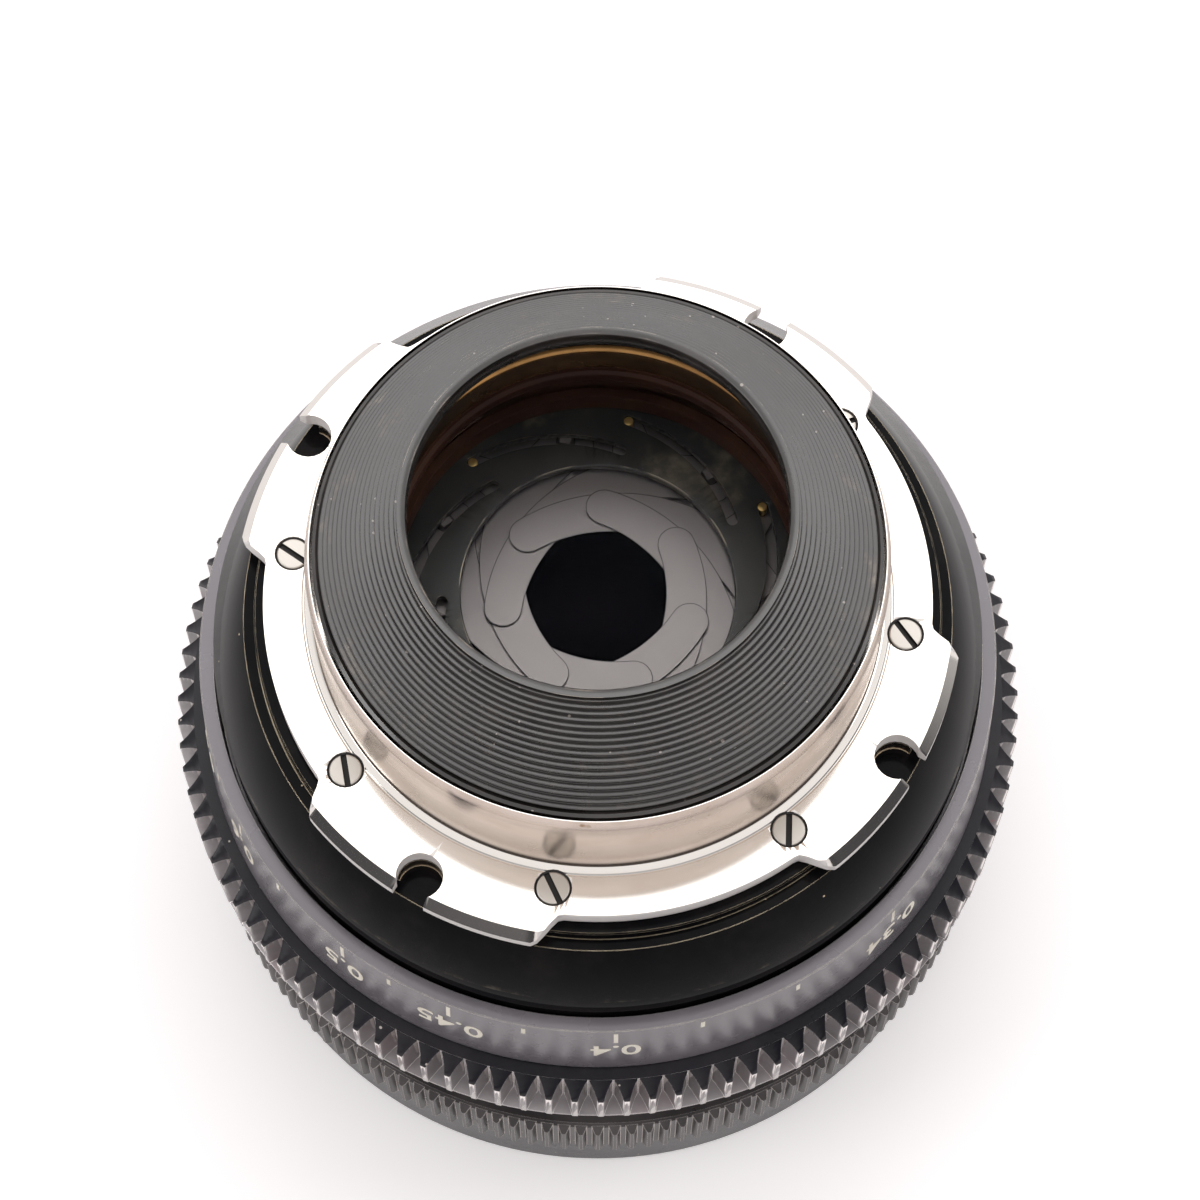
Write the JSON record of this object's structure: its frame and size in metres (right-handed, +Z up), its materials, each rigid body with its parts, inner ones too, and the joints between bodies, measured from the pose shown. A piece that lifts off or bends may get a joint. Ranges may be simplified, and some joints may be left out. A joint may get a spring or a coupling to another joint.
{
  "type": "prime camera lens",
  "caption": "Cinema prime lens standing on its front rim: four-tab mount and coned rear baffle on top, glossy cone, scaled focus ring with gear, fine-toothed iris ring.",
  "frame": {"origin": "on the optical axis, in the plane the front rim stands on", "axes": "+Z up the optical axis, from the front rim to the mount; -Y to the side that the focus numerals 0.4 face"},
  "size_m": [0.0856, 0.0856, 0.0825],
  "materials": {
    "bright_nickel": "turned and plated, bright, slightly stained",
    "screw_steel": "plain steel",
    "gloss_black": "glossy black enamel, worn at the edges",
    "satin_black": "black anodised, satin",
    "matt_black": "black anodised, matt",
    "blade_grey": "blued steel, dull grey",
    "brass": "machined",
    "glass": "coated optical glass"
  },
  "bodies": {
    "barrel": {"mount_flange": "bright_nickel", "mount_screw_1": "screw_steel", "mount_screw_2": "screw_steel", "mount_screw_3": "screw_steel", "mount_screw_4": "screw_steel", "mount_screw_5": "screw_steel", "mount_screw_6": "screw_steel", "mount_screw_7": "screw_steel", "mount_screw_8": "screw_steel", "rear_housing": "gloss_black", "guide_key_1": "brass", "guide_key_2": "brass", "guide_key_3": "brass", "focus_stop_pin": "screw_steel", "focus_retaining_ring": "satin_black"},
    "focus_ring": {"focus_ring": "satin_black", "focus_gear": "satin_black", "focus_helicoid": "brass"},
    "optics": {"rear_cell": "matt_black", "rear_baffle": "matt_black", "rear_glass": "glass", "rear_retainer": "brass", "iris_spacer": "matt_black", "iris_base": "matt_black", "inner_glass": "glass", "glass_spacer": "matt_black", "middle_glass": "glass", "inner_retainer": "matt_black", "main_barrel": "satin_black", "front_cell": "matt_black", "front_glass": "glass", "front_retainer": "satin_black", "front_rim": "satin_black", "iris_retaining_ring": "satin_black"},
    "iris_ring": {"iris_ring": "satin_black", "iris_link": "brass", "iris_cam_ring": "blade_grey"},
    "blade_1": {"iris_blade_1": "blade_grey", "iris_stud_1": "brass"},
    "blade_2": {"iris_blade_2": "blade_grey", "iris_stud_2": "brass"},
    "blade_3": {"iris_blade_3": "blade_grey", "iris_stud_3": "brass"},
    "blade_4": {"iris_blade_4": "blade_grey", "iris_stud_4": "brass"},
    "blade_5": {"iris_blade_5": "blade_grey", "iris_stud_5": "brass"},
    "blade_6": {"iris_blade_6": "blade_grey", "iris_stud_6": "brass"},
    "blade_7": {"iris_blade_7": "blade_grey", "iris_stud_7": "brass"}
  },
  "joints": [
    {"name": "focus_turn", "type": "hinge", "parent": "barrel", "child": "focus_ring", "pos_m": [0, 0, 0.038], "axis": [0, 0, 1], "range_deg": [-44, 150]},
    {"name": "optics_slide", "type": "slide", "parent": "barrel", "child": "optics", "axis": [0, 0, 1], "range_m": [-0.00141, 0.00479]},
    {"name": "iris_turn", "type": "hinge", "parent": "optics", "child": "iris_ring", "pos_m": [0, 0, 0.013], "axis": [0, 0, 1], "range_deg": [0, 54]},
    {"name": "blade_1_swing", "type": "hinge", "parent": "optics", "child": "blade_1", "pos_m": [0.01074, 0.01253, 0.06139], "axis": [0, 0, 1], "range_deg": [0, 20.6]},
    {"name": "blade_2_swing", "type": "hinge", "parent": "optics", "child": "blade_2", "pos_m": [-0.0031, 0.01621, 0.06123], "axis": [0, 0, 1], "range_deg": [0, 20.6]},
    {"name": "blade_3_swing", "type": "hinge", "parent": "optics", "child": "blade_3", "pos_m": [-0.0146, 0.00768, 0.06107], "axis": [0, 0, 1], "range_deg": [0, 20.6]},
    {"name": "blade_4_swing", "type": "hinge", "parent": "optics", "child": "blade_4", "pos_m": [-0.01511, -0.00663, 0.06091], "axis": [0, 0, 1], "range_deg": [0, 20.6]},
    {"name": "blade_5_swing", "type": "hinge", "parent": "optics", "child": "blade_5", "pos_m": [-0.00424, -0.01595, 0.06075], "axis": [0, 0, 1], "range_deg": [0, 20.6]},
    {"name": "blade_6_swing", "type": "hinge", "parent": "optics", "child": "blade_6", "pos_m": [0.00982, -0.01326, 0.06059], "axis": [0, 0, 1], "range_deg": [0, 20.6]},
    {"name": "blade_7_swing", "type": "hinge", "parent": "optics", "child": "blade_7", "pos_m": [0.01649, -0.00058, 0.06043], "axis": [0, 0, 1], "range_deg": [0, 20.6]}
  ],
  "couplings": [
    {"joint": "optics_slide", "follows": "focus_turn", "m_per_rad": 0.00183},
    {"joint": "blade_1_swing", "follows": "iris_turn", "ratio": 0.37969},
    {"joint": "blade_2_swing", "follows": "iris_turn", "ratio": 0.37969},
    {"joint": "blade_3_swing", "follows": "iris_turn", "ratio": 0.37969},
    {"joint": "blade_4_swing", "follows": "iris_turn", "ratio": 0.37969},
    {"joint": "blade_5_swing", "follows": "iris_turn", "ratio": 0.37969},
    {"joint": "blade_6_swing", "follows": "iris_turn", "ratio": 0.37969},
    {"joint": "blade_7_swing", "follows": "iris_turn", "ratio": 0.37969}
  ]
}
